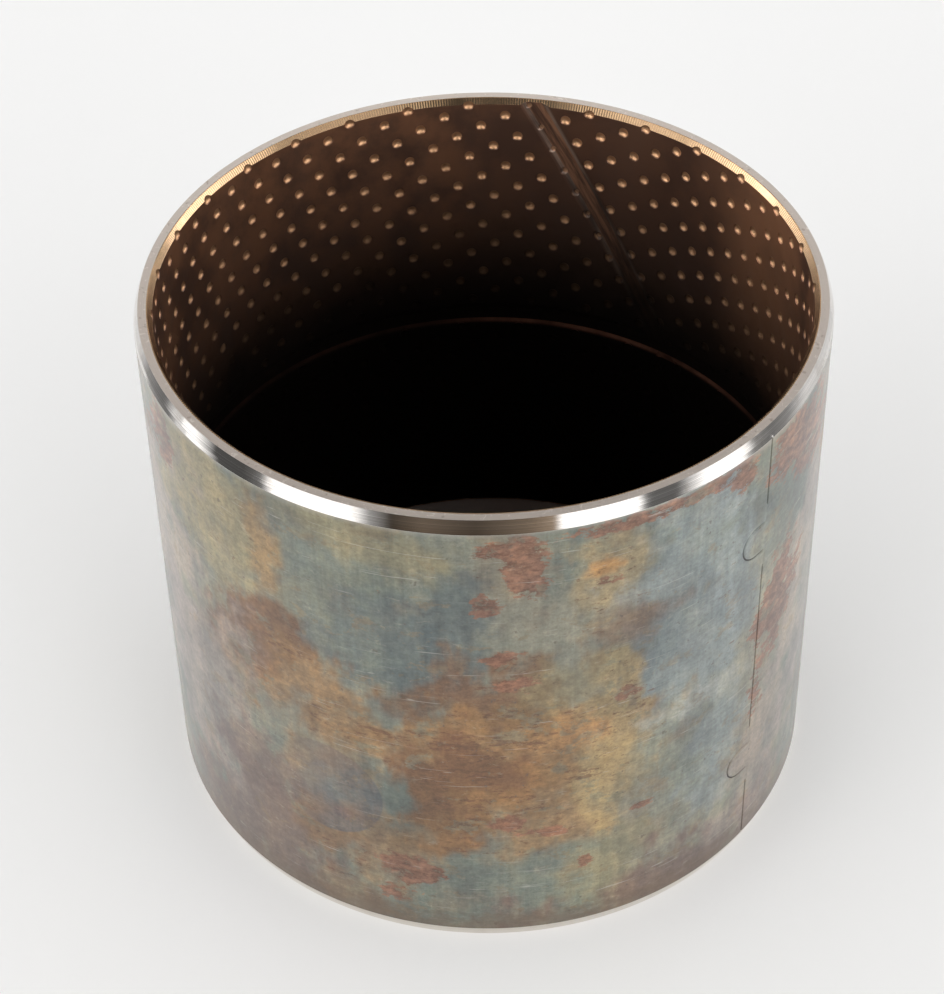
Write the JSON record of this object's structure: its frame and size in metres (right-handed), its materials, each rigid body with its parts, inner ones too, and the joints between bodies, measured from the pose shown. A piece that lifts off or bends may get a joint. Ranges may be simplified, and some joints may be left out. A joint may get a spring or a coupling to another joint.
{
  "type": "wrapped sleeve bushing",
  "caption": "Wrapped steel-backed bronze sleeve bushing with a tab-locked butt seam, chamfered ends and two crossing oil grooves; the visual model also shows the grid of small oil pockets in its bore.",
  "frame": {"origin": "centre of the lower end face, on the bore axis", "axes": "+Z along the bore axis to the upper end; the seam stands 39.5 degrees clockwise of +X, seen from above"},
  "size_m": [0.09, 0.09, 0.0765],
  "materials": {
    "backing_steel": "heat-tinted, stained steel wall with bright turned chamfers",
    "lining_bronze": "dark oxidised sintered bronze, bright at the mouth chamfers and in the pockets"
  },
  "bodies": {
    "root": {"steel_backing": "backing_steel", "bronze_lining": "lining_bronze"}
  },
  "joints": []
}
